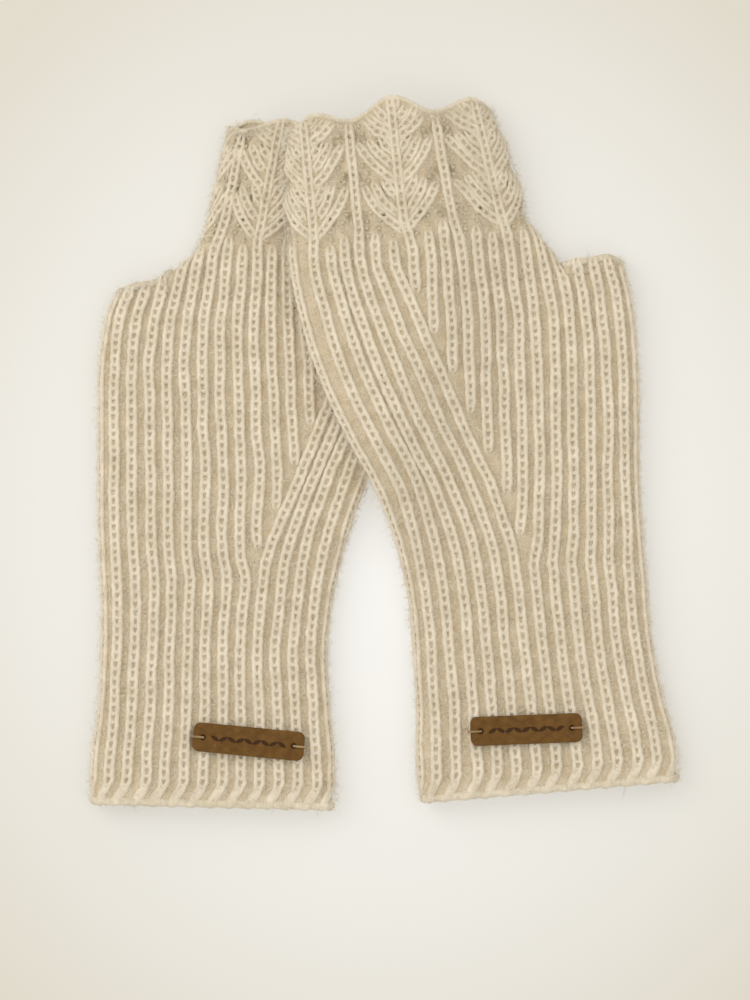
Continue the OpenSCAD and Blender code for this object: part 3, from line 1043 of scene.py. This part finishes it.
RIB_YARN = yarn("ivory_rib_yarn", (212, 198, 171), (230, 217, 193), 0.5)
LACE_YARN = yarn("ivory_lace_yarn", (210, 196, 168), (228, 215, 190), 0.5)
EDGE_YARN = yarn("ivory_edge_yarn", (211, 197, 169), (228, 215, 190), 0.5)
# The ground and purl bars, deep in the valleys between the wales, get a darker copy of the same ivory yarn:
# painted shade.
GROUND_YARN_PAINTED_SHADE = yarn("ivory_ground", (194, 176, 144), (212, 196, 166), 0.6)
# The loose fibres are a lighter copy of the yarn they come from: painted light that offsets the shade among
# them.
PAINTED_LIGHT_FIBRE = yarn("loose_fibre", (236, 224, 200), (248, 240, 222), 0.0)
LEATHER = leather()
THREAD = yarn("beige_thread", (132, 106, 72), (166, 140, 102), 0.3)


# ---- the pieces ----


SIDES = {FRONT: "front", BACK: "back"}
SLOTS = {"hand": "rib_knit", "cuff": "lace_knit"}
YARNS = {"hand": RIB_YARN, "cuff": LACE_YARN}


def knit_stitches(glove, body, rng):
    """The stitches of both faces: their chains, and the pieces for each of the glove's two sheets."""
    chains = {}
    stitches = {(part, face): Strands() for part in SLOTS for face in SIDES}
    purls = {part: Strands() for part in SLOTS}
    for face in SIDES:
        rib = rib_chains(glove, face, rng)
        lace = lace_chains(glove, face, rng)
        chains[face] = rib + lace
        for part, u, y, size in rib:
            rails, loops = chain(u, y, rng, size)
            cut = FORK + 1 if part == "fingers" else GLOVE_LENGTH
            for rail in rails:
                ring = int(np.searchsorted(rail[0, :, :, 1].mean(axis=1), cut))
                for piece, strand in zip(SLOTS, cut_rail(rail, ring)):
                    if strand.shape[1] > 2:
                        stitches[piece, face].add(glove.place(strand, face, part))
            low = loops[:, :, :, 1].mean(axis=(1, 2)) < cut
            for piece, strand in (("hand", loops[low]), ("cuff", loops[~low])):
                stitches[piece, face].add(glove.place(strand, face, part))
        stitches["hand", face].add(glove.place(wale_feet(glove, rib), face))
        for part, u, y, size in lace:
            rails, loops = chain(u, y, rng, size, LACE_DROP)
            for strand in (*rails, loops):
                stitches["cuff", face].add(glove.place(strand, face, part))
        purls["hand"].add(glove.place(purl_bars(glove, rib, 4, FORK, rng), face))
        purls["cuff"].add(glove.place(purl_bars(glove, rib, FORK, GLOVE_LENGTH - 2, rng), face, "fingers"))
    carried = {part: [] for part in SLOTS}
    for (part, face), strands in stitches.items():
        name = f"{glove.name}_{part}_{SIDES[face]}_stitches"
        carried[part].append(make_piece(name, strands.mesh(name), body, SLOTS[part], YARNS[part]))
    for part, strands in purls.items():
        name = f"{glove.name}_{part}_purls"
        carried[part].append(make_piece(name, strands.mesh(name), body, SLOTS[part], GROUND_YARN_PAINTED_SHADE))
    return chains, carried


def knit_edges(glove, body, carried, rng):
    """The cast-on roll, the rims of the thumb and finger openings, and the loose fibres."""
    name = f"{glove.name}_cast_on_yarn"
    mesh = cast_on(name, glove, rng)
    carried["hand"].append(make_piece(name, mesh, body, "edge_knit", EDGE_YARN, f"{glove.name}_wrist_edge"))
    name = f"{glove.name}_thumb_rim"
    mesh = rim(name, glove, "thumb", glove.thumb_top, 1.3, 1.1, 0.05, rng)
    carried["hand"].append(make_piece(name, mesh, body, "edge_knit", EDGE_YARN, f"{glove.name}_thumb_edge"))
    name = f"{glove.name}_fingers_rim"
    mesh = rim(name, glove, "fingers", glove.fingers_top, 1.0, 0.85, 0.06, rng)
    carried["cuff"].append(make_piece(name, mesh, body, "lace_knit", EDGE_YARN))
    for face, batch in itertools.product(SIDES, (1, 2)):
        name = f"{glove.name}_{SIDES[face]}_fuzz_{batch}"
        loose = Strands()
        loose.add(fuzz(glove, face, rng))
        carried["hand"].append(make_piece(name, loose.mesh(name), body, "rib_knit", PAINTED_LIGHT_FIBRE))


def knit(glove, seed):
    """All the pieces of one glove and its label."""
    rng = np.random.default_rng(seed)
    body = f"{glove.name}_glove"
    chains, carried = knit_stitches(glove, body, rng)
    knit_edges(glove, body, carried, rng)
    mesh = ground(glove, "hand", 0.6, lambda share, face: FORK + 1 + 0 * share, 122, chains)
    hand = make_piece(f"{glove.name}_hand_fabric", mesh, body, "rib_knit", GROUND_YARN_PAINTED_SHADE, f"{glove.name}_hand")
    mesh = ground(glove, "fingers", FORK - 1, glove.fingers_top, 88, chains)
    cuff = make_piece(f"{glove.name}_cuff_fabric", mesh, body, "lace_knit", GROUND_YARN_PAINTED_SHADE,
                      f"{glove.name}_finger_cuff")
    mesh = ground(glove, "thumb", FORK - 1, glove.thumb_top, 6, chains)
    thumb = make_piece(f"{glove.name}_thumb_fabric", mesh, body, "edge_knit", GROUND_YARN_PAINTED_SHADE)
    carried["hand"].append(thumb)
    make_piece(f"{glove.name}_label_plate", label_plate(glove), f"{glove.name}_label", "label_leather",
               LEATHER, f"{glove.name}_label")
    for end in ("outer", "inner"):
        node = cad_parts[f"{glove.name}_label_{end}_tie"]
        node.data.materials.clear()
        node.data.materials.append(THREAD)


knit(GLOVES["left"], 11)
knit(GLOVES["right"], 23)

# ---- floor, light and camera ----

# The table, in metres. It is partly lit from itself, so that shadows stay faint, and its colour holds a
# painted pool of light, lightest in the middle.
FLOOR_HALF = 3
FLOOR_GAP = 0.05 * MM
FLOOR_GLOW = 0.5
GLOW_STRENGTH = 1.15


def floor():
    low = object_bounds()[0].z - FLOOR_GAP
    corners = [(x * FLOOR_HALF, y * FLOOR_HALF, low) for x, y in ((-1, -1), (1, -1), (1, 1), (-1, 1))]
    mesh = make_mesh("floor", np.array(corners), [np.array([[0, 1, 2, 3]])])
    piece = add_object("floor", mesh)
    material, nodes, links = shader("pale_table", {"Roughness": 0.9, "Specular IOR Level": 0.1})
    skin = nodes["Principled BSDF"]
    coordinates = nodes.new("ShaderNodeTexCoord")
    mapping = nodes.new("ShaderNodeMapping")
    set_inputs(mapping, {"Location": (0.0, 0.1, 0), "Scale": (6.2, 5.5, 0)})
    links.new(coordinates.outputs["Object"], mapping.inputs["Vector"])
    # A painted pool of light: the table's colour, and its glow, are lightest round the middle and darken
    # outwards.
    gradient = nodes.new("ShaderNodeTexGradient")
    gradient.gradient_type = "SPHERICAL"
    links.new(mapping.outputs["Vector"], gradient.inputs["Vector"])
    tint = ramp(nodes, links, gradient.outputs["Fac"],
                [(0.0, linear(212, 206, 192)), (0.9, linear(239, 238, 234)), (0.35, linear(224, 221, 213))])
    links.new(tint.outputs["Color"], skin.inputs["Base Color"])
    glow = nodes.new("ShaderNodeEmission")
    set_inputs(glow, {"Strength": GLOW_STRENGTH})
    links.new(tint.outputs["Color"], glow.inputs["Color"])
    share = nodes.new("ShaderNodeMixShader")
    set_inputs(share, {"Fac": FLOOR_GLOW})
    links.new(skin.outputs["BSDF"], share.inputs[1])
    links.new(glow.outputs["Emission"], share.inputs[2])
    links.new(share.outputs["Shader"], nodes["Material Output"].inputs["Surface"])
    mesh.materials.append(material)
    piece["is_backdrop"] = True


def light(name, place, size, power):
    """A square soft light that points at the middle of the table."""
    data = bpy.data.lights.new(name, "AREA")
    data.size = size
    data.energy = power
    lamp = add_object(name, data)
    lamp.location = place
    lamp.rotation_mode = "QUATERNION"
    lamp.rotation_quaternion = (-lamp.location).to_track_quat("-Z", "Y")


floor()
light("key", (-0.9, 0.55, 1.1), 1.2, 8)
light("top", (0.1, 0.0, 1.6), 1.8, 8)
world = bpy.data.worlds.new("studio")
scene.world = world
world.use_nodes = True
set_inputs(world.node_tree.nodes["Background"], {"Color": (1, 1, 1, 1), "Strength": 0.7})

# In metres: the camera's height, the gloves' middle, the length in view and the point looked at.
CAMERA_HEIGHT = 2.0
MIDDLE_HEIGHT = 0.006
FRAME_HEIGHT = 0.287
CAMERA_OVER = (-0.00273, -0.0135)
SENSOR = 36
camera = add_object("camera", bpy.data.cameras.new("camera"))
camera.location = (*CAMERA_OVER, CAMERA_HEIGHT)
camera.data.sensor_width = SENSOR
camera.data.lens = SENSOR * (CAMERA_HEIGHT - MIDDLE_HEIGHT) / FRAME_HEIGHT
camera.data.clip_start = 0.1
camera.data.clip_end = 20
bpy.context.scene.camera = camera
scene.view_settings.view_transform = "Standard"
